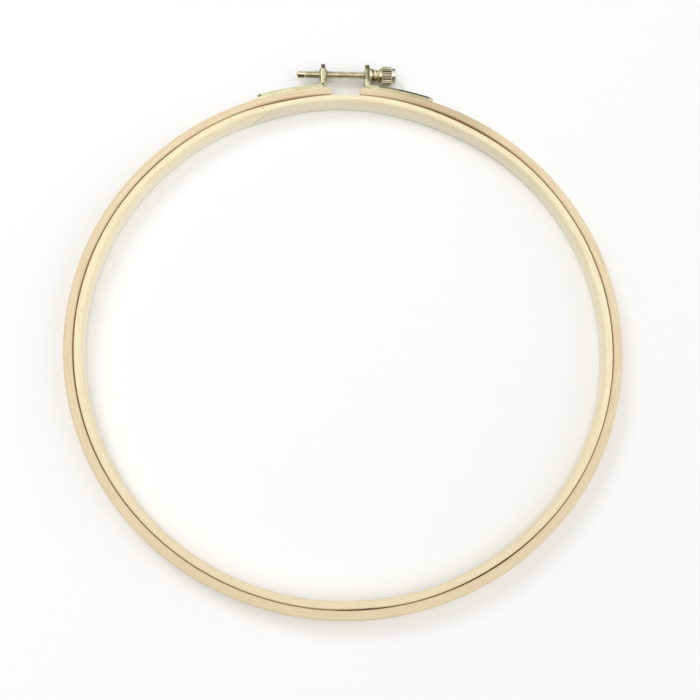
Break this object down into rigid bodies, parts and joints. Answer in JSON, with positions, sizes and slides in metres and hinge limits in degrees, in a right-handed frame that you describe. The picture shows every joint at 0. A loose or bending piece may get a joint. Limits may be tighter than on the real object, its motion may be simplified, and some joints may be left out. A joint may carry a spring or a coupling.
{
  "type": "embroidery hoop",
  "caption": "Round wooden hand embroidery hoop: an inner ring held in a split outer ring that a brass thumb screw draws tight over fabric.",
  "frame": {"origin": "centre of the inner ring's bore, at half the rings' depth", "axes": "+Z along the hoop's axis, towards the face seen in the picture; +Y from the centre to the clamp; +X along the clamp screw towards its knurled head"},
  "size_m": [0.211, 0.2235, 0.008],
  "materials": {
    "inner_wood": "pale smooth-sanded wood, unvarnished",
    "outer_wood": "tan smooth-sanded wood, unvarnished",
    "bracket_metal": "pale brass-plated strip, bright",
    "screw_metal": "antique brass plating, bright",
    "brad_metal": "brass-plated, satin"
  },
  "bodies": {
    "hoop": {"outer_ring": "outer_wood", "left_bracket": "bracket_metal", "left_brad": "brad_metal"},
    "inner_ring": {"inner_ring": "inner_wood"},
    "right_clamp": {"right_bracket": "bracket_metal", "right_brad": "brad_metal"},
    "clamp_screw": {"clamp_screw": "screw_metal", "washer": "screw_metal"}
  },
  "joints": [
    {"name": "inner_ring_lift", "type": "slide", "parent": "hoop", "child": "inner_ring", "axis": [0, 0, 1], "range_m": [0, 0.02]},
    {"name": "hoop_opening", "type": "slide", "parent": "hoop", "child": "right_clamp", "axis": [1, 0, 0], "range_m": [-0.00045, 0.0081], "deforming": ["outer_ring"]},
    {"name": "screw_turn", "type": "hinge", "parent": "right_clamp", "child": "clamp_screw", "pos_m": [0.009, 0.11345, 0], "axis": [1, 0, 0], "range_deg": [-180, 3240]}
  ],
  "couplings": [
    {"joint": "screw_turn", "follows": "hoop_opening", "rad_per_m": 6981.3}
  ]
}
